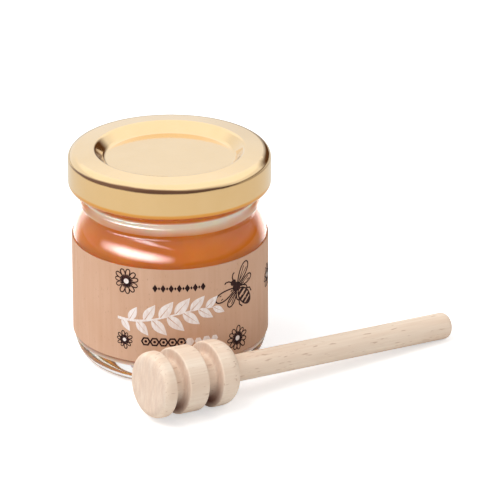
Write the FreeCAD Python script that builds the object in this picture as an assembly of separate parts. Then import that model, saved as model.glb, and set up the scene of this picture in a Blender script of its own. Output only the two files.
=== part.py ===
"""A small honey jar with a twist-off lid, a paper wrap label and a turned wooden dipper.

Units are millimetres and +Z is up. The origin is the centre of the jar's foot, on the surface
that the jar stands on. The dipper lies on the same surface, in front of the jar.
"""
import FreeCAD, Part
import math
import os

Vector = FreeCAD.Vector

# Jar glass, outside
body_radius = 22.0
shoulder_height = 27.7      # where the straight wall ends
mouth_radius = 19.7         # outside of the glass under the lid
heel_height = 7.9           # height of the rounded heel
heel_inset = 4.65           # how far the foot lies inside the wall
foot_width = 2.8            # width of the flat ring that the jar stands on
push_up = 1.2               # rise of the foot's hollow at the centre
collar_step = 0.6           # the collar under the lid stands out from the mouth by this
collar_round = 1.7
collar_rise = 10.0          # from the top of the straight wall up to the collar's widest line
neck_step = 0.46            # the neck lies inside the mouth by this
neck_round = 0.9            # hollow between the shoulder and the collar
mouth_round = 0.5           # hollow between the collar and the mouth
mouth_rise = 11.5           # from the collar's widest line up to the rim
rim_round = 0.9

# Jar glass, inside
wall = 1.8
mouth_wall = 2.1
floor_thickness = 4.2
floor_round = 4.5
bore_round = 1.5            # where the shoulder's inside turns into the bore

# Honey
headspace = 4.2             # from the honey up to the rim
honey_gap = 0.03

# Label, a paper band that leaves a strip of glass bare at the back
label_below = 1.3           # how far it reaches down over the heel
label_above = 1.7           # how far it reaches up past the straight wall
label_bare = 11.2           # width of the bare strip
label_thickness = 0.12
paste_thickness = 0.03

# Lid, pressed from thin sheet
lid_sheet = 0.3
lid_gap = 0.3               # between the rolled edge and the collar
lid_depth = 8.25            # from the top of the skirt's round to the bottom of the rolled edge
lid_round = 1.95            # between the skirt and the top ring
curl_round = 1.1            # the rolled edge
ring_rise = 0.3             # the top ring climbs this much towards its inner edge
crest_gap = 0.47            # the ring's inner edge lies inside the bore by this
crest_round = 0.9           # between the ring and the wall of the sunk middle
panel_drop = 2.2            # depth of the sunk middle
panel_round = 1.0           # between that wall and the flat middle
panel_wall_slope = 48.0     # degrees from the horizontal
seat_gap = 0.05             # between the lid and the glass rim

# Dipper, turned from one piece of wood; lengths run along its axis from the front face
dipper_length = 82.0
handle_radius = 3.05
handle_end_round = 1.3
head_radius = 7.45
face_radius = 5.4           # flat front face
face_round_length = 2.0     # the curve from the face out to the first disc's rim
disc_lengths = (3.5, 5.2, 5.8)
groove_widths = (3.2, 3.6)
core_radius = 4.6           # bottom of the grooves
rim_edge_round = 0.45
groove_round = 1.0          # rounded bottom corners of the grooves
back_round = 3.2            # behind the last disc
handle_fillet = 0.7

# Where the dipper lies
dipper_turn = 34.2          # degrees from +X towards +Y
dipper_gap = 0.85           # between the last disc's widest edge and the label
dipper_past = 7.4           # from that edge, along the dipper, to the point nearest the jar's axis

# Worked out from the sizes above
foot_radius = body_radius - heel_inset
collar_radius = mouth_radius + collar_step
neck_radius = mouth_radius - neck_step
bore_radius = mouth_radius - mouth_wall
collar_height = shoulder_height + collar_rise
rim_height = collar_height + mouth_rise
honey_level = rim_height - headspace
label_inner = body_radius + paste_thickness
label_outer = label_inner + label_thickness
lid_radius = collar_radius + lid_gap + 2 * curl_round
crest_radius = bore_radius - crest_gap


def at(point):
    """A profile point (along, out) in the XZ plane."""
    return Vector(point[0], 0, point[1])


def polar(centre, radius, angle):
    """The point of a circle in the profile plane at an angle in degrees."""
    turn = math.radians(angle)
    return (centre[0] + radius * math.cos(turn), centre[1] + radius * math.sin(turn))


def line(start, end):
    return Part.makeLine(at(start), at(end))


def arc(centre, radius, start, end):
    """Part of a circle in the profile plane, from one angle to another, in degrees."""
    points = [at(polar(centre, radius, angle)) for angle in (start, (start + end) / 2, end)]
    return Part.Arc(*points).toShape()


def tall_quarter(centre, out, up, start, end):
    """Part of an ellipse that is taller than it is wide, by its parameter in degrees from the top."""
    top = at((centre[0], centre[1] + up))
    side = at((centre[0] + out, centre[1]))
    ellipse = Part.Ellipse(top, side, at(centre))
    return Part.ArcOfEllipse(ellipse, math.radians(start), math.radians(end)).toShape()


def sweep(edges, axis, angle=360.0):
    """The solid that a closed profile sweeps about an axis through the origin."""
    wire = Part.Wire(Part.__sortEdges__(edges))
    return Part.Face(wire).revolve(Vector(0, 0, 0), axis, angle)


def circle_beside(centre, circle_radius, line_radius, radius, side=1):
    """The centre of a circle above (1) or below (-1) another, touching it and an upright line."""
    out = line_radius + radius
    rise = math.sqrt((circle_radius + radius)**2 - (out - centre[0])**2)
    return (out, centre[1] + side * rise)


def direction(start, end):
    return math.degrees(math.atan2(end[1] - start[1], end[0] - start[0]))


def collar_centre():
    return (collar_radius - collar_round, collar_height)


def neck_centre():
    """The centre of the hollow under the collar, in profile."""
    return circle_beside(collar_centre(), collar_round, neck_radius, neck_round, side=-1)


def shoulder_round():
    """The shoulder's radius in profile: it leaves the wall upright and meets the neck's hollow."""
    neck = neck_centre()
    inward = body_radius - neck[0]
    up = neck[1] - shoulder_height
    return (inward**2 + up**2 - neck_round**2) / (2 * (neck_round + inward))


def shoulder_centre():
    return (body_radius - shoulder_round(), shoulder_height)


def glass_outside():
    """The outer profile, from the centre of the foot up to the rim's outer corner."""
    hollow_radius = foot_radius - foot_width
    hollow_round = (hollow_radius**2 + push_up**2) / (2 * push_up)
    hollow_half = math.degrees(math.asin(hollow_radius / hollow_round))
    hollow_centre = (0, push_up - hollow_round)
    shoulder = shoulder_centre()
    neck = neck_centre()
    collar = collar_centre()
    mouth = circle_beside(collar, collar_round, mouth_radius, mouth_round)
    shoulder_end = direction(shoulder, neck)
    collar_start = direction(collar, neck)
    collar_end = direction(collar, mouth)
    return [
        arc(hollow_centre, hollow_round, 90, 90 - hollow_half),
        line((hollow_radius, 0), (foot_radius, 0)),
        tall_quarter((foot_radius, heel_height), heel_inset, heel_height, 90, 180),
        line((body_radius, heel_height), (body_radius, shoulder_height)),
        arc(shoulder, shoulder_round(), 0, shoulder_end),
        arc(neck, neck_round, shoulder_end - 180, collar_start - 180),
        arc(collar, collar_round, collar_start, collar_end),
        arc(mouth, mouth_round, collar_end - 180, -180),
        line((mouth_radius, mouth[1]), (mouth_radius, rim_height - rim_round)),
        arc((mouth_radius - rim_round, rim_height - rim_round), rim_round, 0, 90),
    ]


def glass_inside(inset, top):
    """The inner profile, set in from the glass by a gap, from the floor's centre up to a height."""
    floor = floor_thickness + inset
    wall_radius = body_radius - wall - inset
    corner = floor_round - inset
    shoulder = shoulder_centre()
    inner_round = shoulder_round() - wall - inset
    bore = bore_radius - inset
    turn_radius = bore_round + inset
    turn = circle_beside(shoulder, inner_round, bore, turn_radius)
    shoulder_end = direction(shoulder, turn)
    return [
        line((0, floor), (wall_radius - corner, floor)),
        arc((wall_radius - corner, floor + corner), corner, -90, 0),
        line((wall_radius, floor + corner), (wall_radius, shoulder_height)),
        arc(shoulder, inner_round, 0, shoulder_end),
        arc(turn, turn_radius, shoulder_end - 180, -180),
        line((bore, turn[1]), (bore, top)),
    ]


def jar_glass():
    """The jar: a thick foot, a straight wall, a round shoulder, a collar and a smooth mouth."""
    inner_corner = (bore_radius + rim_round, rim_height - rim_round)
    edges = glass_outside() + glass_inside(0, rim_height - rim_round)
    edges.append(arc(inner_corner, rim_round, 180, 90))
    edges.append(line((inner_corner[0], rim_height), (mouth_radius - rim_round, rim_height)))
    edges.append(line((0, push_up), (0, floor_thickness)))
    return sweep(edges, Vector(0, 0, 1))


def honey():
    """The honey fills the jar to its level, a hair inside the glass."""
    edges = glass_inside(honey_gap, honey_level)
    edges.append(line((bore_radius - honey_gap, honey_level), (0, honey_level)))
    edges.append(line((0, honey_level), (0, floor_thickness + honey_gap)))
    return sweep(edges, Vector(0, 0, 1))


def label():
    """A straight band of paper round the wall, with its two ends apart at the back."""
    bottom = heel_height - label_below
    top = shoulder_height + label_above
    corners = [(label_inner, bottom), (label_outer, bottom), (label_outer, top), (label_inner, top)]
    edges = [line(start, end) for start, end in zip(corners, corners[1:] + corners[:1])]
    bare = math.degrees(label_bare / label_outer)
    band = sweep(edges, Vector(0, 0, 1), 360 - bare)
    back = 90
    band.rotate(Vector(0, 0, 0), Vector(0, 0, 1), back + bare / 2)
    return band


def ring_slope():
    """The top ring's slope in degrees, down towards the skirt, straight between its two rounds."""
    width = lid_radius - lid_round - crest_radius
    step = lid_round - crest_round
    climb = ring_rise + step
    return math.degrees(math.atan2(climb, width) - math.asin(step / math.hypot(width, climb)))


def panel_radius():
    """The flat middle's radius: what the sloping wall and its two rounds leave of the ring."""
    slope = math.radians(panel_wall_slope)
    rounds = panel_round + crest_round
    height = panel_drop - rounds * (1 - math.cos(slope))
    return crest_radius - rounds * math.sin(slope) - height / math.tan(slope)


def lid_surface(depth, skirt_top):
    """The sheet's surface at a depth under its outer face, from the centre out to the skirt."""
    crest = (crest_radius, skirt_top + ring_rise + lid_round - crest_round)
    panel = (panel_radius(), crest[1] + crest_round - panel_drop + panel_round)
    edge = (lid_radius - lid_round, skirt_top)
    crest_inner = crest_round - depth
    panel_inner = panel_round + depth
    edge_inner = lid_round - depth
    wall_angle = 90 + panel_wall_slope
    ring_angle = 90 - ring_slope()
    return [
        line((0, panel[1] - panel_inner), (panel[0], panel[1] - panel_inner)),
        arc(panel, panel_inner, -90, wall_angle - 180),
        line(polar(panel, panel_inner, wall_angle - 180), polar(crest, crest_inner, wall_angle)),
        arc(crest, crest_inner, wall_angle, ring_angle),
        line(polar(crest, crest_inner, ring_angle), polar(edge, edge_inner, ring_angle)),
        arc(edge, edge_inner, ring_angle, 0),
    ]


def lid():
    """The lid: a sunk middle, a top ring, a skirt and a rolled edge, all of one sheet."""
    slope = math.radians(ring_slope())
    seat_radius = mouth_radius - rim_round
    fall = (lid_radius - lid_round - seat_radius) * math.tan(slope)
    skirt_top = rim_height + seat_gap - (lid_round - lid_sheet) / math.cos(slope) - fall
    curl = (lid_radius - curl_round, skirt_top + lid_round - lid_depth + curl_round)
    inner_radius = lid_radius - lid_sheet
    curl_end = math.degrees(math.acos((inner_radius - curl[0]) / curl_round))
    middle = skirt_top + ring_rise + lid_round - panel_drop
    edges = lid_surface(0, skirt_top) + lid_surface(lid_sheet, skirt_top)
    edges.append(line((0, middle), (0, middle - lid_sheet)))
    edges.append(line((lid_radius, skirt_top), (lid_radius, curl[1])))
    edges.append(arc(curl, curl_round, 0, curl_end - 360))
    edges.append(line(polar(curl, curl_round, curl_end), (inner_radius, skirt_top)))
    return sweep(edges, Vector(0, 0, 1))


def disc_spans():
    """Where each disc of the head starts and ends along the axis."""
    spans = []
    start = 0.0
    for length, gap in zip(disc_lengths, groove_widths + (0.0,)):
        spans.append((start, start + length))
        start += length + gap
    return spans


def groove(start, end):
    """A groove between two discs, with its rims eased and its bottom corners rounded."""
    left = start + groove_round
    right = end - groove_round
    low = core_radius + groove_round
    high = head_radius - rim_edge_round
    return [
        arc((start - rim_edge_round, high), rim_edge_round, 90, 0),
        line((start, high), (start, low)),
        arc((left, low), groove_round, 180, 270),
        line((left, core_radius), (right, core_radius)),
        arc((right, low), groove_round, 270, 360),
        line((end, low), (end, high)),
        arc((end + rim_edge_round, high), rim_edge_round, 180, 90),
    ]


def dipper_face():
    """The front face and the curve out to the first disc's rim, flat where the face is."""
    rise = head_radius - face_radius
    centre = (face_round_length, face_radius)
    top = at((centre[0], centre[1] + rise))
    side = at((centre[0] - face_round_length, centre[1]))
    ellipse = Part.Ellipse(top, side, at(centre))
    return [
        line((0, 0), (0, face_radius)),
        Part.ArcOfEllipse(ellipse, 0, math.pi / 2).toShape(),
    ]


def dipper_profile():
    """Half the dipper's outline, from the centre of the face to the centre of the handle's end."""
    spans = disc_spans()
    edges = dipper_face()
    rim_start = face_round_length
    for (_, end), (start, _) in zip(spans, spans[1:]):
        edges.append(line((rim_start, head_radius), (end - rim_edge_round, head_radius)))
        edges += groove(end, start)
        rim_start = start + rim_edge_round
    back = spans[-1][1]
    low = head_radius - back_round
    fillet = handle_radius + handle_fillet
    end_round = dipper_length - handle_end_round
    end_flat = handle_radius - handle_end_round
    edges += [
        line((rim_start, head_radius), (back - back_round, head_radius)),
        arc((back - back_round, low), back_round, 90, 0),
        line((back, low), (back, fillet)),
        arc((back + handle_fillet, fillet), handle_fillet, 180, 270),
        line((back + handle_fillet, handle_radius), (end_round, handle_radius)),
        arc((end_round, end_flat), handle_end_round, 90, 0),
        line((dipper_length, end_flat), (dipper_length, 0)),
        line((dipper_length, 0), (0, 0)),
    ]
    return edges


def dipper():
    """The dipper, resting on the back of its last disc and on the end of its handle."""
    widest = disc_spans()[-1][1] - back_round
    along = dipper_length - handle_end_round - widest
    across = head_radius - back_round - (handle_radius - handle_end_round)
    rounds = back_round - handle_end_round
    tilt = math.asin(rounds / math.hypot(along, across)) + math.atan2(across, along)
    front_height = widest * math.sin(tilt) + (head_radius - back_round) * math.cos(tilt) + back_round
    off_axis = head_radius + math.sqrt((label_outer + dipper_gap)**2 - dipper_past**2)
    turn = math.radians(dipper_turn)
    front = -(dipper_past + widest * math.cos(tilt))
    solid = sweep(dipper_profile(), Vector(1, 0, 0))
    solid.rotate(Vector(0, 0, 0), Vector(0, 1, 0), math.degrees(tilt))
    solid.rotate(Vector(0, 0, 0), Vector(0, 0, 1), dipper_turn)
    solid.translate(Vector(front * math.cos(turn) + off_axis * math.sin(turn),
                           front * math.sin(turn) - off_axis * math.cos(turn),
                           front_height))
    return solid


def main():
    os.makedirs("parts", exist_ok=True)
    pieces = {
        "jar_glass": jar_glass(),
        "honey": honey(),
        "label": label(),
        "lid": lid(),
        "dipper": dipper(),
    }
    for name, solid in pieces.items():
        box = solid.optimalBoundingBox()
        print(f"{name}: valid {solid.isValid()}, volume {solid.Volume:.1f} mm3, "
              f"x {box.XMin:.2f} to {box.XMax:.2f}, y {box.YMin:.2f} to {box.YMax:.2f}, "
              f"z {box.ZMin:.2f} to {box.ZMax:.2f}")
        solid.exportStep(f"parts/{name}.step")


main()
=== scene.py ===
# %% [markdown]
# # A honey jar with a wooden dipper
#
# A small glass jar of honey stands shut under a gold twist-off lid. A band of kraft paper is pasted
# round it, and a turned beech dipper lies in front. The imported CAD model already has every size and
# place right, so this lesson adds what the eye sees: glass, honey, paper, print, metal and wood.

# %% Load the frame
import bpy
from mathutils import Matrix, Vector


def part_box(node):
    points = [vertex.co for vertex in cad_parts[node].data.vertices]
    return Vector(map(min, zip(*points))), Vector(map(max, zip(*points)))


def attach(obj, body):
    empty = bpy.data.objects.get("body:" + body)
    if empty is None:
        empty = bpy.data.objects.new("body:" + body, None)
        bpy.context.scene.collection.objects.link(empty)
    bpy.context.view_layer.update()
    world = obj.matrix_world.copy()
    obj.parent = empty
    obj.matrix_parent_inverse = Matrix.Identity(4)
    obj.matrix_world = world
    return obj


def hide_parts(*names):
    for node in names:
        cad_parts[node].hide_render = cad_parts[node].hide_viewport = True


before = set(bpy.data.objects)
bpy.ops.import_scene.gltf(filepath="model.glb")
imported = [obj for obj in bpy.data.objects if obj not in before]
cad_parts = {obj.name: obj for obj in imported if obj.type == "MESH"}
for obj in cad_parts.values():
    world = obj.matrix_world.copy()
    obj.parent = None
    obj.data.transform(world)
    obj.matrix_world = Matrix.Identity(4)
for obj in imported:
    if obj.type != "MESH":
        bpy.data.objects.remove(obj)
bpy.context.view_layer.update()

print("CAD nodes:", sorted(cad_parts))

# %% Imports and units
import math

import bmesh
import bpy
from mathutils import Matrix, Vector

MM = 0.001
scene = bpy.context.scene

# %% [markdown]
# The jar's axis is the frame's own Z axis, so radii are read straight off the boxes of the CAD
# nodes. The paper, the honey and the lid's finish follow those boxes if a size changes. Only the
# places of the print on its sheet and of the pale ring in the honey are plain numbers.

# %% Measure the jar
label_low, label_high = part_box("label")
honey_low, honey_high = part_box("honey")
lid_low, lid_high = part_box("lid")
paper_radius = label_high.x
paper_bottom, paper_top = label_low.z, label_high.z
glass_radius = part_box("jar_glass")[1].x
print(f"paper radius {paper_radius / MM:.2f} mm, from {paper_bottom / MM:.2f} to {paper_top / MM:.2f} mm")

# %% [markdown]
# Both shader trees and geometry trees are wired from nodes. One small helper adds a node, sets its
# options, and fills its sockets with plain values or with another node's output.

# %% Helpers for node trees
def feed(tree, socket, value):
    """Gives a socket a plain value, or links it to another node's output."""
    if isinstance(value, bpy.types.NodeSocket):
        tree.links.new(value, socket)
    else:
        socket.default_value = value


def add_node(tree, kind, inputs=None, **options):
    """A new node whose inputs, by name or number, take a value or another node's output."""
    made = tree.nodes.new(kind)
    for option, value in options.items():
        setattr(made, option, value)
    for key, value in (inputs or {}).items():
        feed(tree, made.inputs[key], value)
    return made


def result(tree, kind, inputs=None, **options):
    """The first output of a new node."""
    return add_node(tree, kind, inputs, **options).outputs[0]


def math_node(tree, operation, first, second=0.0):
    """The output of one Math node."""
    return result(tree, "ShaderNodeMath", {0: first, 1: second}, operation=operation)


def plus(tree, first, second):
    return math_node(tree, "ADD", first, second)


def minus(tree, first, second):
    return math_node(tree, "SUBTRACT", first, second)


def multiply(tree, first, *others):
    """The product of two or more numbers or sockets."""
    for other in others:
        first = math_node(tree, "MULTIPLY", first, other)
    return first


def maximum(tree, first, *others):
    for other in others:
        first = math_node(tree, "MAXIMUM", first, other)
    return first


def parts_of(tree, vector):
    """The X, Y and Z of a vector, as three sockets."""
    return add_node(tree, "ShaderNodeSeparateXYZ", {0: vector}).outputs


def vector_of(tree, x=0.0, y=0.0, z=0.0):
    return result(tree, "ShaderNodeCombineXYZ", {0: x, 1: y, 2: z})


def dot(tree, first, second):
    """How far one vector points along another."""
    made = add_node(tree, "ShaderNodeVectorMath", {0: first, 1: second}, operation="DOT_PRODUCT")
    return made.outputs["Value"]


def length_of(tree, vector):
    return add_node(tree, "ShaderNodeVectorMath", {0: vector}, operation="LENGTH").outputs["Value"]


def screen(red, green, blue):
    """A colour as read off a screen, 0 to 255, as the linear values that nodes work in."""
    def linear(value):
        share = value / 255
        return share / 12.92 if share <= 0.04045 else ((share + 0.055) / 1.055)**2.4
    return (linear(red), linear(green), linear(blue), 1.0)


print("a screen's middle grey is", round(screen(128, 128, 128)[0], 3), "in the values of nodes")

# %% [markdown]
# ## Finishes
#
# Every finish is one Principled shader. The patterns in it are procedural and read Object
# coordinates, so they sit in the material like grain sits in wood, and nothing needs unwrapping.

# %% Helpers for finishes
def new_finish(name, **sockets):
    """A material with a Principled shader, whose sockets are set by name."""
    material = bpy.data.materials.new(name)
    material.use_nodes = True
    shader = material.node_tree.nodes["Principled BSDF"]
    for socket, value in sockets.items():
        shader.inputs[socket.replace("_", " ")].default_value = value
    print("finish:", name)
    return material, material.node_tree, shader


def mapped(tree, vector, scale=(1, 1, 1), turn=(0, 0, 0)):
    """A vector turned and scaled by a Mapping node."""
    mapping = {"Vector": vector, "Rotation": turn, "Scale": scale}
    return result(tree, "ShaderNodeMapping", mapping)


def coordinates(tree, scale=(1, 1, 1), turn=(0, 0, 0)):
    """Object coordinates in metres, turned and scaled."""
    return mapped(tree, add_node(tree, "ShaderNodeTexCoord").outputs["Object"], scale, turn)


def noise(tree, vector, scale, detail=2.0, roughness=0.5):
    """A noise pattern from 0 to 1, with about this many grains to a metre."""
    inputs = {"Vector": vector, "Scale": scale, "Detail": detail, "Roughness": roughness}
    return result(tree, "ShaderNodeTexNoise", inputs)


def remap(tree, value, low, high, to_low=0.0, to_high=1.0):
    """Stretches the part of a value between low and high over a new range, and stops at its ends."""
    inputs = {0: value, 1: low, 2: high, 3: to_low, 4: to_high}
    return result(tree, "ShaderNodeMapRange", inputs, clamp=True)


def blend(tree, share, first, second):
    """A colour between two others."""
    made = add_node(tree, "ShaderNodeMix", data_type="RGBA")
    for socket, value in ((0, share), (6, first), (7, second)):
        feed(tree, made.inputs[socket], value)
    return made.outputs[2]


def relief(tree, shader, height, depth, strength=1.0):
    """Bump on a shader from a height pattern, depth metres deep."""
    inputs = {"Height": height, "Distance": depth, "Strength": strength}
    feed(tree, shader.inputs["Normal"], result(tree, "ShaderNodeBump", inputs))


# %% [markdown]
# **Glass.** Blown glass is never quite true: its faces wander by a few hundredths of a millimetre,
# which is what breaks up the highlights. The shader is plain glass, and a very wide, very shallow
# noise bump gives that wander. Modelling it would cost triangles and show no more.

# %% Glass
def make_glass():
    material, tree, shader = new_finish(
        "clear_glass", Base_Color=(0.985, 0.99, 0.985, 1), Roughness=0.0, IOR=1.5, Transmission_Weight=1.0)
    wander = noise(tree, coordinates(tree, scale=(1, 1, 0.6)), 160, detail=1.0)
    relief(tree, shader, wander, 0.08 * MM)
    return material


glass = make_glass()

# %% [markdown]
# **Honey.** Honey is a clear syrup full of fine pollen, so light both passes through it and glows
# inside it. Clear honey alone would turn nearly black behind a paper label, so a small part of the
# shader is transmission and the rest soft scattering. Honey bends light just as glass does, so
# nothing is mirrored where the two meet, and the specular level is zero. Three colours are painted
# on it for what clear glass alone doesn't show here: a pale ring for the light that the moulded
# collar gathers, brown down in the heel where little light arrives, and a pale sole, which keeps
# the thick glass foot light.

# %% Honey
ring_low, ring_high = 36.85 * MM, 38.65 * MM
ring_fade = 0.4 * MM
heel_range = (honey_low.z + 1.5 * MM, honey_low.z + 5 * MM)
sole_range = (honey_low.z + 0.3 * MM, honey_low.z + 1.6 * MM)
scatter_reach = (2.4 * MM, 1.2 * MM, 0.5 * MM)


def make_honey():
    material, tree, shader = new_finish(
        "amber_honey", Roughness=0.06, IOR=1.49, Specular_IOR_Level=0.0, Transmission_Weight=0.12,
        Subsurface_Weight=1.0, Subsurface_Scale=1.0)
    shader.inputs["Subsurface Radius"].default_value = scatter_reach
    place = coordinates(tree)
    cloud = noise(tree, coordinates(tree, scale=(1, 1, 0.5)), 70, detail=3.0)
    amber = blend(tree, remap(tree, cloud, 0.35, 0.65), screen(216, 118, 14), screen(232, 138, 24))
    wobble = remap(tree, noise(tree, place, 120), 0.2, 0.8, -0.15 * MM, 0.15 * MM)
    wavy = plus(tree, parts_of(tree, place)[2], wobble)
    above = remap(tree, wavy, ring_low - ring_fade, ring_low + ring_fade)
    below = remap(tree, wavy, ring_high - ring_fade, ring_high + ring_fade, 1.0, 0.0)
    streaks = noise(tree, coordinates(tree, scale=(1, 1, 6)), 60, detail=2.0)
    ring = multiply(tree, above, below, remap(tree, streaks, 0.35, 0.65, 0.88, 1.0))
    colour = blend(tree, remap(tree, wavy, *heel_range, 0.85, 0.0), amber, screen(132, 84, 62))
    colour = blend(tree, remap(tree, wavy, *sole_range, 0.8, 0.0), colour, screen(232, 208, 192))
    feed(tree, shader.inputs["Base Color"], blend(tree, ring, colour, screen(255, 243, 224)))
    return material


honey_finish = make_honey()

# %% [markdown]
# **Kraft paper.** Kraft keeps the fibres of the pulp, which lie along the roll. On this band they
# run upright, so the noise is stretched along Z. A second, finer noise leaves a few dark specks.

# %% Kraft paper
def make_kraft():
    material, tree, shader = new_finish("kraft_paper", Roughness=0.62, Specular_IOR_Level=0.35)
    place = coordinates(tree)
    fibres = noise(tree, coordinates(tree, scale=(1, 1, 0.06)), 900, detail=4.0, roughness=0.6)
    clouds = noise(tree, place, 120, detail=2.0)
    specks = noise(tree, coordinates(tree, scale=(1, 1, 0.35)), 2600, detail=1.0)
    fibre_colour = blend(tree, remap(tree, fibres, 0.3, 0.7), screen(208, 165, 136), screen(216, 176, 149))
    cloudy = blend(tree, remap(tree, clouds, 0.3, 0.7, 0.0, 0.45), fibre_colour, screen(205, 160, 129))
    specked = blend(tree, remap(tree, specks, 0.69, 0.75, 0.0, 0.35), cloudy, screen(160, 116, 90))
    feed(tree, shader.inputs["Base Color"], specked)
    relief(tree, shader, fibres, 0.03 * MM, 0.6)
    return material


kraft = make_kraft()

# %% [markdown]
# **Inks.** The print is a dark brown-black ink and an opaque white one. Screen ink lies unevenly on
# rough paper, so its colour varies a little with the same sort of noise as the paper.

# %% Inks
def make_ink(name, thin, full):
    material, tree, shader = new_finish(name, Roughness=0.6, Specular_IOR_Level=0.2)
    cover = noise(tree, coordinates(tree, scale=(1, 1, 0.2)), 1800, detail=2.0)
    feed(tree, shader.inputs["Base Color"], blend(tree, remap(tree, cover, 0.35, 0.6), thin, full))
    return material


dark_ink = make_ink("dark_ink", screen(62, 30, 30), screen(34, 12, 14))
white_ink = make_ink("white_ink", screen(238, 222, 214), screen(250, 241, 237))

# %% [markdown]
# ** Gold lacquer.** The lid is tinplate under a clear gold lacquer. Metallic gives the reflections,
# the coat gives the lacquer's own shine, and a fine noise in the roughness is the rolled sheet's
# grain. The curl at the lid's lower edge is painted a darker amber, as painted shade and painted
# reflection. The dark line in the bend above the skirt is painted too. On a real lid such a line is
# the mirror image of something dark. A room dark enough to give it would turn the whole flat lid
# brown when seen from behind, so here it is a darker lacquer, which is a cheat: it stays where it
# is when the light changes.

# %% Gold lacquer
curl_top = lid_low.z + 1.45 * MM
bend_low, bend_high = lid_high.z - 1.95 * MM, lid_high.z - 1.05 * MM
bend_fade = 0.16 * MM
recess_edge = (lid_high.x - 2.6 * MM, lid_high.x - 2.0 * MM)
front_left = (-0.3, -0.95, 0)
widening = (0.45 * lid_high.x, 0.97 * lid_high.x)


def dark_line(tree, place, height):
    """How dark the painted line in the bend above the skirt is; it is widest at the front left."""
    x, y, _ = parts_of(tree, place)
    flat = vector_of(tree, x, y)
    outside_recess = remap(tree, length_of(tree, flat), *recess_edge)
    wave = remap(tree, noise(tree, place, 45), 0.3, 0.7, -0.12 * MM, 0.12 * MM)
    top = remap(tree, dot(tree, flat, front_left), *widening, bend_low + 0.1 * MM, bend_high)
    above_top = minus(tree, height, plus(tree, top, wave))
    over = remap(tree, height, bend_low - bend_fade, bend_low + bend_fade)
    under = remap(tree, above_top, -bend_fade, bend_fade, 0.96, 0.0)
    return multiply(tree, outside_recess, over, under)


def make_gold():
    material, tree, shader = new_finish(
        "gold_lacquer", Metallic=1.0, Coat_Weight=1.0, Coat_Roughness=0.04, Coat_IOR=1.5)
    place = coordinates(tree)
    grain = noise(tree, place, 5200, detail=3.0)
    cloud = noise(tree, place, 200, detail=2.0)
    gold_sheet = blend(tree, remap(tree, cloud, 0.3, 0.7), screen(239, 207, 155), screen(241, 210, 160))
    ripple = remap(tree, noise(tree, place, 150), 0.3, 0.7, -0.08 * MM, 0.08 * MM)
    down = plus(tree, parts_of(tree, place)[2], ripple)
    # Painted shade and reflection: below curl_top the curl is coloured a darker amber.
    curl_shade_and_reflection = blend(tree, remap(tree, down, lid_low.z, curl_top), screen(222, 132, 40), screen(240, 182, 92))
    gold_sheet = blend(tree, dark_line(tree, place, down), gold_sheet, screen(100, 52, 8))
    edge = remap(tree, down, curl_top - 0.2 * MM, curl_top + 0.1 * MM)
    feed(tree, shader.inputs["Base Color"], blend(tree, edge, curl_shade_and_reflection, gold_sheet))
    feed(tree, shader.inputs["Roughness"], remap(tree, grain, 0.3, 0.7, 0.09, 0.14))
    relief(tree, shader, grain, 0.004 * MM, 0.5)
    return material


gold = make_gold()

# %% [markdown]
# **Beech.** Beech is pale and even, with thousands of short brown pores along the grain. The dipper
# was turned with the grain along its axis, so the pattern must follow that axis and not the frame's.
# A Mapping node turns the coordinates until X runs along the dipper. Its axis comes from its mesh.

# %% The dipper's axis
def long_axis(points, rounds=40):
    """The mean point and the longest direction of a cloud of points, by repeated multiplication."""
    middle = sum(points, Vector()) / len(points)
    spread = Matrix(((0, 0, 0),) * 3)
    for point in points:
        away = point - middle
        for row in range(3):
            for column in range(3):
                spread[row][column] += away[row] * away[column]
    direction = Vector((1, 1, 0))
    for _ in range(rounds):
        direction = (spread @ direction).normalized()
    return middle, direction


dipper_points = [vertex.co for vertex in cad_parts["dipper"].data.vertices]
dipper_middle, dipper_axis = long_axis(dipper_points)
to_grain = dipper_axis.rotation_difference(Vector((1, 0, 0))).to_euler()
face_end = min((point - dipper_middle).dot(dipper_axis) for point in dipper_points)
head_radius = max(((point - dipper_middle).cross(dipper_axis)).length for point in dipper_points)
core_radius = 0.62 * head_radius
first_groove = (face_end + 2.2 * MM, face_end + 3.4 * MM)
handle_start = (face_end + 16.5 * MM, face_end + 18 * MM)
shaded_heights = (2.2 * MM, 8 * MM)
print(f"head radius {head_radius / MM:.2f} mm, its face {face_end / MM:.2f} mm from the middle")
print("the dipper points along", tuple(round(value, 3) for value in dipper_axis))

# %% [markdown]
# A cut across the grain looks darker and shows the ends of the pores as faint specks. How far a face
# is cut across the grain is just how far its normal points along the axis, whoever looks at it.
# This room's light is so even that the grooves' own shadows come out weak. A little brown painted
# on their undersides deepens them; the wood itself is no darker there.

# %% Brown in the grooves
def groove_shade(tree, along):
    """How much brown is painted into the grooves: most near the core, on the underside."""
    middle = dipper_middle.copy()
    middle.rotate(to_grain)
    from_middle = result(tree, "ShaderNodeVectorMath", {0: along, 1: middle}, operation="SUBTRACT")
    along_axis, right, up = parts_of(tree, from_middle)
    radius = length_of(tree, vector_of(tree, 0.0, right, up))
    near_core = remap(tree, radius, 1.3 * core_radius, head_radius, 1.0, 0.0)
    past_face = remap(tree, along_axis, *first_groove)
    before_handle = remap(tree, along_axis, *handle_start, 1.0, 0.0)
    below = remap(tree, parts_of(tree, coordinates(tree))[2], *shaded_heights, 0.95, 0.06)
    return multiply(tree, near_core, past_face, before_handle, below)


print(f"brown is painted below {shaded_heights[1] / MM:.0f} mm above the table")

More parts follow.
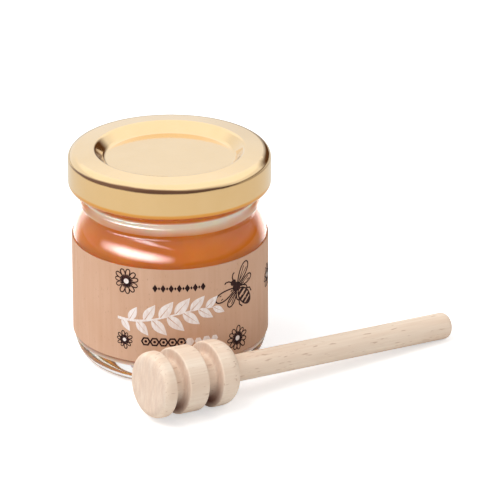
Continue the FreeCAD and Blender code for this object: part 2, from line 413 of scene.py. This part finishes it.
# %% Beech
def make_beech():
    material, tree, shader = new_finish("turned_beech", Roughness=0.58, Specular_IOR_Level=0.3)
    along = coordinates(tree, turn=to_grain)
    normal = add_node(tree, "ShaderNodeNewGeometry").outputs["Normal"]
    across = remap(tree, math_node(tree, "ABSOLUTE", dot(tree, normal, dipper_axis)), 0.66, 0.9)
    rings = mapped(tree, along, (0.05, 1, 0.22))
    bands = noise(tree, rings, 620, detail=3.0)
    threads = noise(tree, mapped(tree, along, (0.03, 1, 1)), 2400, detail=2.0)
    pores = noise(tree, mapped(tree, along, (0.16, 1, 1)), 2300, detail=1.0, roughness=0.4)
    wood = blend(tree, remap(tree, bands, 0.35, 0.65), screen(235, 210, 187), screen(245, 227, 207))
    threaded = blend(tree, remap(tree, threads, 0.4, 0.7, 0.0, 0.3), wood, screen(222, 193, 167))
    saw_lines = remap(tree, noise(tree, rings, 1500, detail=1.0), 0.35, 0.65, 0.35, 0.62)
    end_grain = blend(tree, multiply(tree, across, saw_lines), threaded, screen(208, 182, 165))
    depth = remap(tree, across, 0.0, 1.0, 0.6, 0.15)
    share = multiply(tree, remap(tree, pores, 0.66, 0.76), depth)
    pored = blend(tree, share, end_grain, screen(184, 142, 112))
    shaded = blend(tree, groove_shade(tree, along), pored, screen(112, 62, 48))
    feed(tree, shader.inputs["Base Color"], shaded)
    relief(tree, shader, threads, 0.05 * MM, 0.5)
    return material


beech = make_beech()

# %% [markdown]
# ## Pieces that the CAD model already shapes
#
# The glass, the lid and the dipper are solids of revolution with exact normals, so they are shown
# as they are and only get their finish.

# %% Finish the CAD nodes
def put_finish(node_name, material):
    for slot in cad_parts[node_name].material_slots:
        slot.material = material


put_finish("jar_glass", glass)
put_finish("lid", gold)
put_finish("dipper", beech)
print("finished the glass, the lid and the dipper")

# %% [markdown]
# ## Honey that wets the glass
#
# The CAD honey stops a hair inside the wall, because two solids mustn't overlap. Light would bend
# twice at that hair of air and show a silvery skin. Real honey wets the glass, so this copy is
# pushed out just into the wall, and the two surfaces then bend light as one.

# %% Helpers for objects
def new_object(name, data):
    """An object in the scene that shows a mesh, a lamp or a camera."""
    made = bpy.data.objects.new(name, data)
    scene.collection.objects.link(made)
    return made


def mesh_of(shape, name):
    """A mesh made of a bmesh, which is then let go."""
    mesh = bpy.data.meshes.new(name)
    shape.to_mesh(mesh)
    shape.free()
    return mesh


print("object helpers ready")

# %% Honey piece
wetting = 0.12 * MM
surface = honey_high.z - 0.01 * MM


def make_honey_piece():
    """The honey pushed outwards all round; its surface grows sideways only and keeps its level."""
    shape = bmesh.new()
    shape.from_mesh(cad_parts["honey"].data)
    bmesh.ops.remove_doubles(shape, verts=shape.verts, dist=0.001 * MM)
    bmesh.ops.recalc_face_normals(shape, faces=shape.faces)
    moved = {}
    for vertex in shape.verts:
        push = vertex.normal.copy()
        if vertex.co.z > surface:
            push = Vector((vertex.co.x, vertex.co.y, 0))
            if push.length < honey_high.x * 0.5:
                push = Vector()
        moved[vertex] = vertex.co + push.normalized() * wetting
    for vertex, place in moved.items():
        vertex.co = place
    mesh = mesh_of(shape, "honey_fill")
    mesh.materials.append(honey_finish)
    mesh.shade_smooth()
    mesh.set_sharp_from_angle(angle=math.radians(50))
    piece = new_object("honey_fill", mesh)
    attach(piece, "root")
    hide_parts("honey")
    return piece


honey_piece = make_honey_piece()
print("honey_fill:", len(honey_piece.data.polygons), "faces")

# %% [markdown]
# ## Paper and print
#
# Everything on the label is drawn flat first, as it would be on a printer's sheet: X runs round the
# jar, Y runs up it, and Z is how far a thing stands off the glass. One small node group then rolls
# the sheet round the jar. All the trees below end with that group, so they agree to a hair.

# %% Geometry tree helpers
def new_tree(name, numbers):
    """A geometry tree with named number inputs, and the sockets of its input and output nodes."""
    tree = bpy.data.node_groups.new(name, "GeometryNodeTree")
    tree.interface.new_socket("Geometry", in_out="INPUT", socket_type="NodeSocketGeometry")
    for label, value in numbers.items():
        kind = "NodeSocketInt" if isinstance(value, int) else "NodeSocketFloat"
        tree.interface.new_socket(label, in_out="INPUT", socket_type=kind).default_value = value
    tree.interface.new_socket("Geometry", in_out="OUTPUT", socket_type="NodeSocketGeometry")
    return tree, tree.nodes.new("NodeGroupInput").outputs, tree.nodes.new("NodeGroupOutput").inputs


def finish_tree(tree, geometry, output):
    tree.links.new(geometry, output["Geometry"])
    return tree


def join(tree, *geometries):
    made = tree.nodes.new("GeometryNodeJoinGeometry")
    for geometry in geometries:
        tree.links.new(geometry, made.inputs[0])
    return made.outputs[0]


def colour_with(tree, geometry, material):
    given = {"Geometry": geometry, "Material": material}
    return result(tree, "GeometryNodeSetMaterial", given)


def place_parts(tree):
    """The X, Y and Z of the place of each vertex."""
    return parts_of(tree, result(tree, "GeometryNodeInputPosition"))


def set_place(tree, geometry, x, y, z=0.0):
    """The geometry with each vertex moved to x, y, z."""
    given = {"Geometry": geometry, "Position": vector_of(tree, x, y, z)}
    return result(tree, "GeometryNodeSetPosition", given)


def transform(tree, geometry, **change):
    """Geometry moved, turned or sized, by the names of the Transform node's inputs."""
    return result(tree, "GeometryNodeTransform", {"Geometry": geometry, **change})


def make_roll_group():
    """Rolls a flat sheet round the jar's axis, with its X = 0 line at the front."""
    tree, given, output = new_tree("roll_round_jar", {"Radius": 1.0})
    right, up, thickness = place_parts(tree)
    turn = math_node(tree, "DIVIDE", right, given["Radius"])
    out = plus(tree, thickness, given["Radius"])
    x = multiply(tree, out, math_node(tree, "SINE", turn))
    y = multiply(tree, out, multiply(tree, math_node(tree, "COSINE", turn), -1.0))
    return finish_tree(tree, set_place(tree, given["Geometry"], x, y, up), output)


roll_group = make_roll_group()


def roll(tree, geometry):
    given = {"Geometry": geometry, "Radius": paper_radius}
    return result(tree, "GeometryNodeGroup", given, node_tree=roll_group)


print("node group:", roll_group.name)

# %% [markdown]
# A tree only makes geometry while its modifier runs. `grow` runs it once, keeps the result as a
# plain mesh, and drops the modifier, because a finished piece has to be a mesh and nothing else.

# %% Run a tree and keep its mesh
def socket_name(tree, label):
    """The identifier that a modifier uses for a named input."""
    items = tree.interface.items_tree
    return next(item.identifier for item in items if item.name == label and item.in_out == "INPUT")


def grow(name, tree, numbers=None, start=None):
    """The piece that a geometry tree makes, as a plain mesh that rides on the jar."""
    piece = new_object(name, start or bpy.data.meshes.new(name))
    modifier = piece.modifiers.new("grow", "NODES")
    modifier.node_group = tree
    for label, value in (numbers or {}).items():
        modifier[socket_name(tree, label)] = value
    bpy.context.view_layer.update()
    graph = bpy.context.evaluated_depsgraph_get()
    mesh = bpy.data.meshes.new_from_object(piece.evaluated_get(graph))
    piece.modifiers.remove(modifier)
    piece.data = mesh
    mesh.name = name
    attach(piece, "root")
    check = bmesh.new()
    check.from_mesh(mesh)
    volume = check.calc_volume(signed=True) / MM**3
    print(f"{name}: {len(mesh.polygons)} faces, volume {volume:.3f} cubic mm")
    check.free()
    return piece


# %% [markdown]
# **The label.** The band is a flat grid with a thickness, rolled round the jar. Its inner face lies
# just inside the glass, as paste would join the two, so no mirror-like air film shows through the
# honey. Its two ends stop short of each other at the back, which leaves a strip of glass bare.

# %% Thin plates
def weld(tree, geometry, distance):
    """Joins vertices that lie at the same place."""
    near = {"Geometry": geometry, "Distance": distance}
    return result(tree, "GeometryNodeMergeByDistance", near)


def flat_grid(tree, size_x, size_y, columns, rows):
    """A flat grid round the middle of its sheet, with this many vertices each way."""
    return result(tree, "GeometryNodeMeshGrid", {
        "Size X": size_x, "Size Y": size_y, "Vertices X": columns, "Vertices Y": rows})


def realize(tree, geometry):
    return result(tree, "GeometryNodeRealizeInstances", {"Geometry": geometry})


def flipped(tree, mesh):
    return result(tree, "GeometryNodeFlipFaces", {"Mesh": mesh})


def plate(tree, flat, thickness):
    """A flat mesh as a thin closed plate, standing up from where it lay."""
    raised = result(tree, "GeometryNodeExtrudeMesh", {
        "Mesh": flat, "Offset": (0, 0, 1), "Offset Scale": thickness, "Individual": False})
    return weld(tree, join(tree, raised, flipped(tree, flat)), 0.001 * MM)


def shift(tree, geometry, x=0.0, y=0.0, z=0.0):
    """Moves geometry; each distance is a number or a socket."""
    return transform(tree, geometry, Translation=vector_of(tree, x, y, z))


print("plate helpers ready")

# %% Paper band
paste_reach = 0.05 * MM
paper_columns, paper_rows = 361, 13
bare_angle = 2 * math.acos(label_high.y / paper_radius)
paper_length = (2 * math.pi - bare_angle) * paper_radius


def make_label_tree():
    tree, given, output = new_tree("paper_band", {
        "Length": 1.0, "Height": 1.0, "Thickness": 1.0, "Bottom": 0.0})
    sheet = flat_grid(tree, given["Length"], given["Height"], paper_columns, paper_rows)
    band = plate(tree, sheet, given["Thickness"])
    middle = plus(tree, multiply(tree, given["Height"], 0.5), given["Bottom"])
    inward = multiply(tree, given["Thickness"], -1.0)
    rolled = roll(tree, shift(tree, band, y=middle, z=inward))
    return finish_tree(tree, colour_with(tree, realize(tree, rolled), kraft), output)


label_piece = grow("paper_label", make_label_tree(), {
    "Length": paper_length,
    "Height": paper_top - paper_bottom,
    "Thickness": paper_radius - glass_radius + paste_reach,
    "Bottom": paper_bottom,
})
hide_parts("label")

# %% [markdown]
# **Print.** Screen ink is a film a few hundredths of a millimetre thick. Each motif is drawn as flat
# faces, all facing up. The next helper gives them their thickness, lays them on the paper with a
# turn and a place on the sheet, and rolls them round the jar. The figures are common ones on honey
# labels, drawn plainly and without words: daisies, a bee, leaves, beads and a strip of honeycomb.

# %% Lay ink on the paper
ink_height = 0.03 * MM
ink_sink = 0.01 * MM


def inked(tree, flat, ink, height=ink_height):
    """Flat faces as a closed film of ink that starts just inside the paper."""
    film = shift(tree, plate(tree, flat, height + ink_sink), z=-ink_sink)
    return colour_with(tree, film, ink)


def lay_down(tree, geometry, given, output):
    """Turns, places and rolls a motif by the inputs Turn, Right and Up, and ends its tree."""
    turned = transform(tree, geometry, Rotation=vector_of(tree, z=given["Turn"]))
    placed = roll(tree, shift(tree, turned, x=given["Right"], y=given["Up"]))
    return finish_tree(tree, realize(tree, placed), output)


def print_on_label(name, tree, millimetres, start=None, **others):
    """A piece of print grown from a tree, with its lengths given in millimetres."""
    lengths = {label: value * MM for label, value in millimetres.items()}
    return grow(name, tree, {**lengths, **others}, start)


placing = {"Right": 0.0, "Up": 0.0, "Turn": 0.0}
print(f"the ink stands {ink_height / MM:.2f} mm above the paper")

# %% [markdown]
# Nearly every stroke of the print is a small grid that has been bent: a grid of one row bent into a
# ring is an outline, and one pinched at both ends is half a leaf. A bent grid keeps tidy quads that
# all face the same way, which a drawn curve would not promise.

# %% Bent grids
def grid_share(tree, across, up):
    """A unit grid, and the sockets that say how far along each side a vertex lies, from 0 to 1."""
    x, y, _ = place_parts(tree)
    return flat_grid(tree, 1.0, 1.0, across, up), plus(tree, x, 0.5), plus(tree, y, 0.5)


def bend(tree, grid, x, y):
    """The grid with each vertex moved to x, y, and any edges that now meet joined."""
    return weld(tree, set_place(tree, grid, x, y), 0.002 * MM)


def outline(tree, half_x, half_y, line, sides=16, flare=0.0, centre=0.0):
    """A ring of faces round an oval; flare widens its far end, and sides=6 makes a hexagon."""
    grid, along, inward = grid_share(tree, sides + 1, 2)
    angle = multiply(tree, along, math.tau)
    inset = multiply(tree, inward, line)
    cosine, sine = math_node(tree, "COSINE", angle), math_node(tree, "SINE", angle)
    width = plus(tree, multiply(tree, cosine, flare), 1.0)
    x = plus(tree, multiply(tree, minus(tree, half_x, inset), cosine), centre)
    y = multiply(tree, minus(tree, half_y, inset), sine, width)
    return bend(tree, grid, x, y)


def filled(tree, radius, sides=14):
    given = {"Vertices": sides, "Radius": radius}
    return result(tree, "GeometryNodeMeshCircle", given, fill_type="NGON")


def dash(tree, start, length, line):
    """A straight stroke along X."""
    grid, along, up = grid_share(tree, 2, 2)
    x = plus(tree, multiply(tree, along, length), start)
    return bend(tree, grid, x, multiply(tree, minus(tree, up, 0.5), line))


def index_of(tree):
    return result(tree, "GeometryNodeInputIndex")


def points_at(tree, count, x=0.0, y=0.0):
    """A number of points; x and y may depend on a point's index."""
    given = {"Count": count, "Position": vector_of(tree, x, y)}
    return result(tree, "GeometryNodePoints", given)


def scatter(tree, points, thing, turn=0.0, size=1.0):
    """A copy of a thing on every point, turned about Z and sized by numbers or sockets."""
    return realize(tree, result(tree, "GeometryNodeInstanceOnPoints", {
        "Points": points, "Instance": thing, "Rotation": vector_of(tree, z=turn),
        "Scale": vector_of(tree, size, size, 1.0)}))


def random_between(tree, low, high, seed):
    made = add_node(tree, "FunctionNodeRandomValue", data_type="FLOAT")
    for socket, value in (("Min", low), ("Max", high), ("Seed", seed), ("ID", index_of(tree))):
        enabled = [item for item in made.inputs if item.name == socket and item.enabled]
        feed(tree, enabled[0], value)
    return made.outputs[1]


print("print helpers ready")

# %% [markdown]
# **Daisies.** A daisy repeats one petal round a centre, so it is a small tree: an outlined petal with
# two veins, copied round a point with a little jitter in angle and size, as a hand would draw it.
# The centre is a dark ring round a dot of white ink.

# %% Daisy tree
def make_daisy_tree():
    tree, given, output = new_tree("daisy", {
        "Petals": 11, "Radius": 2.7 * MM, "Core": 0.62 * MM, "Line": 0.2 * MM, "Seed": 1, **placing})
    core, radius, line = given["Core"], given["Radius"], given["Line"]
    petal_width, vein_reach, most_turn = 0.52, 0.75, 0.07
    petal_sizes, vein_leans = (0.86, 1.06), (-0.06, 0.07)
    half_long = multiply(tree, minus(tree, radius, core), 0.5)
    half_wide = multiply(tree, half_long, petal_width)
    middle = plus(tree, core, half_long)
    petal = outline(tree, half_long, half_wide, line, sides=14, flare=0.3, centre=middle)
    vein = dash(tree, core, multiply(tree, half_long, vein_reach), multiply(tree, line, 0.7))
    one = points_at(tree, given["Petals"])
    step = math_node(tree, "DIVIDE", math.tau, given["Petals"])
    jitter = random_between(tree, -most_turn, most_turn, given["Seed"])
    angle = plus(tree, multiply(tree, index_of(tree), step), jitter)
    size = random_between(tree, *petal_sizes, plus(tree, given["Seed"], 7.0))
    petals = scatter(tree, one, petal, angle, size)
    veins = [scatter(tree, one, vein, plus(tree, angle, lean)) for lean in vein_leans]
    rim_radius = plus(tree, core, line)
    rim = outline(tree, rim_radius, rim_radius, multiply(tree, line, 1.4))
    heart = filled(tree, multiply(tree, core, 0.82))
    dark = [inked(tree, petals, dark_ink), inked(tree, rim, dark_ink, ink_height * 1.2)]
    dark += [inked(tree, stroke, dark_ink, ink_height * 0.8) for stroke in veins]
    both = join(tree, *dark, inked(tree, heart, white_ink, ink_height * 1.1))
    return lay_down(tree, both, given, output)


daisy_tree = make_daisy_tree()
daisies = {     # right, up and radius in millimetres, petals, seed, turn
    "daisy_top_left": (-9.7, 25.9, 3.1, 11, 3, 0.2),
    "daisy_low_left": (-10.3, 11.6, 2.2, 10, 5, 0.5),
    "daisy_low_right": (16.8, 10.3, 3.1, 11, 8, 0.9),
    "daisy_side": (31.0, 20.5, 3.0, 11, 12, 0.0),
}
for name, (right, up, radius, petals, seed, turn) in daisies.items():
    core, line = 0.24 * radius, 0.12 + 0.042 * radius
    sizes = {"Right": right, "Up": up, "Radius": radius, "Core": core, "Line": line}
    print_on_label(name, daisy_tree, sizes, Petals=petals, Seed=seed, Turn=turn)

# %% [markdown]
# **Sprig.** In the middle of the label stands a bold white sprig. Its stem is a bent strip, and its
# leaves are copied along the stem, left and right by turns, largest in the middle. Each leaf is two
# halves with a hair's breadth between them, which leaves the midrib bare.

# %% Sprig tree
def make_sprig_tree():
    tree, given, output = new_tree("sprig", {
        "Length": 23.0 * MM, "Leaves": 13, "Leaf": 5.0 * MM, "Width": 2.3 * MM, "Stem": 0.55 * MM,
        "Wave": 0.9 * MM, **placing})

    def wave(share):
        angle = multiply(tree, minus(tree, share, 0.5), math.tau * 0.8)
        return multiply(tree, math_node(tree, "SINE", angle), given["Wave"])

    def along_stem(share):
        return multiply(tree, minus(tree, share, 0.5), given["Length"])

    grid, share, side = grid_share(tree, 49, 2)
    taper = minus(tree, 1.15, share)
    offset = multiply(tree, minus(tree, side, 0.5), given["Stem"], taper)
    stem = bend(tree, grid, along_stem(share), plus(tree, wave(share), offset))

    grid, share, side = grid_share(tree, 11, 3)
    bow = math_node(tree, "SINE", multiply(tree, math_node(tree, "POWER", share, 0.8), math.pi))
    slit = multiply(tree, given["Stem"], minus(tree, 1.0, share), 0.22)
    rise = plus(tree, slit, multiply(tree, side, bow, given["Width"], 0.5))
    half = bend(tree, grid, multiply(tree, share, given["Leaf"]), rise)
    leaf = join(tree, half, flipped(tree, transform(tree, half, Scale=(1, -1, 1))))

    index = index_of(tree)
    share = math_node(tree, "DIVIDE", plus(tree, index, 0.6), given["Leaves"])
    points = points_at(tree, given["Leaves"], along_stem(share), wave(share))
    turn_about = math_node(tree, "MODULO", index, 2.0)
    side = minus(tree, multiply(tree, turn_about, 2.0), 1.0)
    lean = multiply(tree, side, minus(tree, 1.05, multiply(tree, share, 0.45)))
    swell = math_node(tree, "SINE", multiply(tree, share, math.pi))
    size = plus(tree, 0.62, multiply(tree, swell, 0.42))
    leaves = scatter(tree, points, leaf, lean, size)
    leaf_film = inked(tree, leaves, white_ink, ink_height * 1.6)
    stem_film = inked(tree, stem, white_ink, ink_height * 1.9)
    return lay_down(tree, join(tree, leaf_film, stem_film), given, output)


print_on_label("leaf_sprig", make_sprig_tree(), {"Right": -0.5, "Up": 18.1}, Turn=0.07)

# %% [markdown]
# **Beads and honeycomb.** Two narrow rows set the sprig off: dark beads above it, and below it a
# strip of comb that turns from dark cells to white ones. Both repeat one small shape along a line.

# %% Row tree
def make_row_tree(name, ink, sides, hollow, squash=1.0):
    """A row of like shapes, every second one smaller; hollow ones get a dot in the middle."""
    tree, given, output = new_tree(name, {
        "Count": 9, "Spacing": 1.2 * MM, "Radius": 0.5 * MM, "Small": 0.55, "Line": 0.2 * MM, **placing})
    radius = given["Radius"]
    if hollow:
        cell = outline(tree, radius, radius, given["Line"], sides=sides)
        cell = join(tree, cell, filled(tree, multiply(tree, radius, 0.3), 8))
    else:
        cell = filled(tree, radius, sides)
    cell = transform(tree, cell, Scale=(squash, 1, 1))
    index = index_of(tree)
    middle = multiply(tree, minus(tree, given["Count"], 1.0), 0.5)
    x = multiply(tree, minus(tree, index, middle), given["Spacing"])
    points = points_at(tree, given["Count"], x)
    odd = math_node(tree, "MODULO", index, 2.0)
    size = minus(tree, 1.0, multiply(tree, odd, minus(tree, 1.0, given["Small"])))
    return lay_down(tree, inked(tree, scatter(tree, points, cell, 0.0, size), ink), given, output)


beads = make_row_tree("bead_row", dark_ink, 4, False, 0.62)
dark_comb = make_row_tree("comb_row", dark_ink, 6, True)
white_comb = make_row_tree("comb_row_filled", white_ink, 6, False)
print_on_label("bead_row", beads, {
    "Right": 2.4, "Up": 24.9, "Spacing": 0.9, "Radius": 0.95}, Count=13, Small=0.45)
print_on_label("comb_row_dark", dark_comb, {
    "Right": -1.2, "Up": 11.9, "Spacing": 2.0, "Radius": 1.15, "Line": 0.42}, Count=5, Small=1.0)
print_on_label("comb_row_white", white_comb, {
    "Right": 7.6, "Up": 11.9, "Spacing": 1.95, "Radius": 1.0}, Count=4, Small=0.85)

# %% [markdown]
# **Bee.** The bee is drawn only once, so nothing in it is worth a tree. It is drawn in Python with two
# pens, one for ribbons along a line and one for filled shapes, and a short tree inks and rolls it.

# %% Pens
def ribbon(shape, points, line):
    """A stroke of even width along points, as quads that face up."""
    sides = []
    for index, point in enumerate(points):
        before, after = points[max(index - 1, 0)], points[min(index + 1, len(points) - 1)]
        along = (after - before).normalized()
        across = Vector((-along.y, along.x, 0)) * line / 2
        sides.append((shape.verts.new(point - across), shape.verts.new(point + across)))
    for (right, left), (next_right, next_left) in zip(sides, sides[1:]):
        shape.faces.new((right, next_right, next_left, left))


def oval(centre, half_x, half_y, turn=0.0, steps=20, flare=0.0):
    """Points round an oval, widened towards its far end by flare."""
    spin = Matrix.Rotation(turn, 3, "Z")
    round_it = [index * math.tau / steps for index in range(steps + 1)]
    return [centre + spin @ Vector((half_x * math.cos(angle),
                                    half_y * math.sin(angle) * (1 + flare * math.cos(angle)), 0))
            for angle in round_it]


def fill(shape, points):
    shape.faces.new([shape.verts.new(point) for point in points])


print("pens ready")

# %% Draw the bee
def draw_bee():
    """A bee seen from above, head up."""
    size = 1.3 * MM
    pen, fine_pen = 0.24, 0.16
    wings = ((2.55, 2.15, 2.05, 0.8, 0.32), (2.1, 0.35, 1.5, 0.6, -0.28))     # x, y, half sizes, lean
    shape = bmesh.new()
    fill(shape, oval(Vector((0, 2.55, 0)), 0.62, 0.5)[:-1])
    fill(shape, oval(Vector((0, 1.35, 0)), 0.95, 0.85)[:-1])
    belly, half_x, half_y = Vector((0, -1.55, 0)), 1.12, 2.05
    ribbon(shape, oval(belly, half_x, half_y), pen)
    for low, high in ((0.52, 0.82), (0.02, 0.3), (-0.46, -0.18), (-0.94, -0.62)):
        heights = (low, (low + high) / 2, high)
        widths = [half_x * math.sqrt(1 - value**2) for value in heights]
        right = [belly + Vector((width, value * half_y, 0)) for width, value in zip(widths, heights)]
        left = [belly + Vector((-width, value * half_y, 0)) for width, value in zip(widths, heights)]
        fill(shape, right + left[::-1])
    for side in (-1, 1):
        def at(x, y):
            return Vector((side * x, y, 0))

        for x, y, half_long, half_wide, lean in wings:
            turn = lean if side > 0 else math.pi - lean
            ribbon(shape, oval(at(x, y), half_long, half_wide, turn, flare=0.35), pen)
            along = Vector((math.cos(turn), math.sin(turn), 0))
            for spread in (-0.16, 0.14):
                vein = Matrix.Rotation(spread, 3, "Z") @ along
                start = at(x, y) - along * half_long * 0.8
                ribbon(shape, [start, start + vein * half_long * 1.35], fine_pen)
        feeler = [at(0.25, 2.95), at(0.5, 3.5), at(1.0, 3.85), at(1.35, 3.8)]
        middle_leg = [at(0.7, 0.9), at(1.5, -0.5), at(1.35, -1.2)]
        hind_leg = [at(0.9, -0.6), at(1.75, -1.7), at(1.6, -2.6)]
        for stroke in (feeler, middle_leg, hind_leg):
            ribbon(shape, stroke, pen)
    for vertex in shape.verts:
        vertex.co *= size
    bmesh.ops.recalc_face_normals(shape, faces=shape.faces)
    for face in shape.faces:
        if face.normal.z < 0:
            face.normal_flip()
    return mesh_of(shape, "bee_drawing")


def make_stamp_tree():
    tree, given, output = new_tree("stamp", placing)
    return lay_down(tree, inked(tree, given["Geometry"], dark_ink), given, output)


print_on_label("bee", make_stamp_tree(), {"Right": 17.7, "Up": 21.6}, start=draw_bee(), Turn=0.7)

# %% [markdown]
# ## Studio
#
# A pale floor, a white room and one broad soft lamp. The room is white to the camera and to what is
# seen through glass. As light it is gentler, so that pale wood and paper keep their colour. Polished
# things mirror it with some darker parts: low in front, behind to the right and along the right
# horizon. With nothing dark to mirror, gold lacquer would look like flat paint.

# %% Room
ambient = 0.68
dark_reflection = (0.1, 0.042, 0.014, 1)


def sine_of(degrees):
    return math.sin(math.radians(degrees))


def cosine_of(degrees):
    return math.cos(math.radians(degrees))


def direction_to(azimuth, elevation):
    """The unit vector towards a place in the room; azimuth 0 is behind the jar, 90 to its right."""
    flat = cosine_of(elevation)
    return Vector((sine_of(azimuth) * flat, cosine_of(azimuth) * flat, sine_of(elevation)))


def grey(tree, value):
    return vector_of(tree, value, value, value)


def kinds_of_ray(tree):
    """Two shares: whether the camera sees a place, straight or through glass, or a mirror does."""
    path = add_node(tree, "ShaderNodeLightPath").outputs
    seen = maximum(tree, path["Is Camera Ray"], path["Is Transmission Ray"])
    mirrored = multiply(tree, path["Is Glossy Ray"], minus(tree, 1.0, path["Is Transmission Ray"]))
    return seen, mirrored


def dark_parts(tree, towards, height):
    """How dark mirrors see the room: low in front, behind to the right and on the right horizon."""
    low = remap(tree, height, sine_of(44), sine_of(56), 1.0, 0.0)
    front = multiply(tree, low, remap(tree, dot(tree, towards, direction_to(165, 0)), 0.3, 0.7, 0.0, 0.35))
    behind = remap(tree, dot(tree, towards, direction_to(28, 4)), cosine_of(29), cosine_of(14))
    at_horizon = remap(tree, height, sine_of(3), sine_of(12), 0.85, 0.0)
    right = remap(tree, dot(tree, towards, direction_to(80, 0)), -0.1, 0.15)
    return maximum(tree, front, behind, multiply(tree, at_horizon, right))


def make_room():
    world = bpy.data.worlds.new("studio")
    scene.world = world
    world.use_nodes = True
    tree = world.node_tree
    seen, mirrored = kinds_of_ray(tree)
    towards = add_node(tree, "ShaderNodeTexCoord").outputs["Generated"]
    height = dot(tree, towards, Vector((0, 0, 1)))
    ceiling = remap(tree, height, sine_of(24), sine_of(34), 1.0, 1.22)
    reflection = blend(tree, dark_parts(tree, towards, height), grey(tree, ceiling), dark_reflection)
    plain = grey(tree, remap(tree, seen, 0.0, 1.0, ambient, 1.0))
    feed(tree, tree.nodes["Background"].inputs["Color"], blend(tree, mirrored, plain, reflection))
    return world


print("room:", make_room().name, "and its light on the jar is", ambient)

# %% [markdown]
# **Floor.** A large pale square catches the shadows. Under soft light alone it would look grey
# against the white room, so it glows a little wherever it is seen. Mirrors see it a shade darker
# and warmer, which keeps the gold of the lid's skirt deep.

# %% Floor
floor_half = 3.0
floor_glow = 0.5


def make_floor():
    corners = ((-1, -1), (1, -1), (1, 1), (-1, 1))
    shape = bmesh.new()
    fill(shape, [Vector((x, y, 0)) * floor_half for x, y in corners])
    floor = new_object("floor", mesh_of(shape, "floor"))
    material = bpy.data.materials.new("studio_floor")
    material.use_nodes = True
    tree = material.node_tree
    tree.nodes.remove(tree.nodes["Principled BSDF"])
    seen, mirrored = kinds_of_ray(tree)
    colour = blend(tree, mirrored, (0.8, 0.8, 0.8, 1), (0.71, 0.65, 0.55, 1))
    pale = result(tree, "ShaderNodeBsdfDiffuse", {"Color": colour})
    glowing = {"Color": (1, 1, 1, 1), "Strength": multiply(tree, seen, floor_glow)}
    glow = result(tree, "ShaderNodeEmission", glowing)
    both = result(tree, "ShaderNodeAddShader", {0: pale, 1: glow})
    feed(tree, tree.nodes["Material Output"].inputs["Surface"], both)
    floor.data.materials.append(material)
    return floor


print("floor:", make_floor().name, f"{2 * floor_half:.0f} m square")

# %% [markdown]
# **Lamp.** One broad square lamp, high up to the left, gives soft shadows. It stays out of mirrors,
# because its bright square would be the first thing that the eye sees on the lid.

# %% Lamps
def aim_at(place, target):
    """The turn that makes a lamp or a camera at a place look at a target."""
    return (Vector(target) - Vector(place)).to_track_quat("-Z", "Y").to_euler()


glass_only = bpy.data.collections.new("glass_only")
glass_only.objects.link(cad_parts["jar_glass"])


def soft_lamp(name, place, size, watts, target=(0, 0, 25 * MM), shine=True, only=None):
    """A rectangular lamp that the camera doesn't see; only names the things that mirror it."""
    lamp = bpy.data.lights.new(name, "AREA")
    lamp.shape = "RECTANGLE"
    lamp.size, lamp.size_y = size
    lamp.energy = watts
    holder = new_object(name, lamp)
    holder.location = place
    holder.rotation_euler = aim_at(place, target)
    holder.visible_glossy = shine
    holder.visible_camera = False
    if only:
        holder.light_linking.receiver_collection = only
        holder.visible_diffuse = False
        holder.visible_transmission = False
        lamp.use_shadow = False
    return holder


key = soft_lamp("key", (-0.6, -0.25, 1.05), (0.9, 0.9), 10.2, shine=False)
print("lamp:", key.name, f"{key.data.energy:.1f} W")

# %% [markdown]
# **Softboxes.** The white edge of a glass jar is the mirror image of something bright. Two softboxes
# at the front left and one low behind the jar give such images. They fade at their edges, and light
# linking keeps them to the glass, so the paper and the wood stay evenly lit.

# %% Softboxes that only the glass mirrors
softbox_aim = Vector((0, 0, 33 * MM))
edge_power = 1.5


def make_softbox(name, azimuth, elevation, distance, size, radiance, soft, middle_share=1.0):
    """A softbox with fading edges; middle_share dims an upright strip in its middle."""
    place = softbox_aim + direction_to(azimuth, elevation) * distance
    watts = math.pi * size[0] * size[1]
    lamp = soft_lamp(name, place, size, watts, target=softbox_aim, only=glass_only).data
    lamp.use_nodes = True
    tree = lamp.node_tree
    on_lamp = parts_of(tree, add_node(tree, "ShaderNodeNewGeometry").outputs["Parametric"])
    from_middle = [math_node(tree, "ABSOLUTE", minus(tree, side, 0.5)) for side in on_lamp[:2]]
    edges = [remap(tree, off, 0.5 * (1 - soft), 0.5, 1.0, 0.0) for off in from_middle]
    fades = [math_node(tree, "POWER", edge, edge_power) for edge in edges]
    strip = remap(tree, from_middle[0], 0.03, 0.15, middle_share, 1.0)
    feed(tree, tree.nodes["Emission"].inputs["Strength"], multiply(tree, *fades, strip, radiance))


softboxes = {     # azimuth, elevation, distance, size, radiance, soft share, share left in the middle
    "window": (-138, 18, 0.6, (1.4, 0.3), 24, 0.75),
    "window_top": (-142, 45, 0.6, (0.9, 0.08), 12, 0.8),
    "back": (0, -10, 0.075, (0.26, 0.2), 2.1, 0.45, 0.45),
}
for name, values in softboxes.items():
    make_softbox(name, *values)
print("softboxes:", *softboxes)

# %% [markdown]
# **Camera.** A long lens a metre away keeps upright edges nearly parallel, and it looks down on the
# jar so that the top of the lid shows. Its sideways aim leaves room for the dipper's handle.

# %% Camera
camera_elevation = 23.1
camera_distance = 1.0
camera_aim = Vector((18.03, 1.74, 24.07)) * MM
camera_lens = 318.2


def make_camera():
    camera = bpy.data.cameras.new("camera")
    camera.sensor_width = 36
    camera.lens = camera_lens
    camera.clip_start, camera.clip_end = 0.05, 20
    holder = new_object("camera", camera)
    back = Vector((0, -cosine_of(camera_elevation), sine_of(camera_elevation)))
    holder.location = camera_aim + back * camera_distance
    holder.rotation_euler = aim_at(holder.location, camera_aim)
    return holder


scene.camera = make_camera()
scene.view_settings.view_transform = "Standard"
print("camera at", [round(value, 3) for value in scene.camera.location])
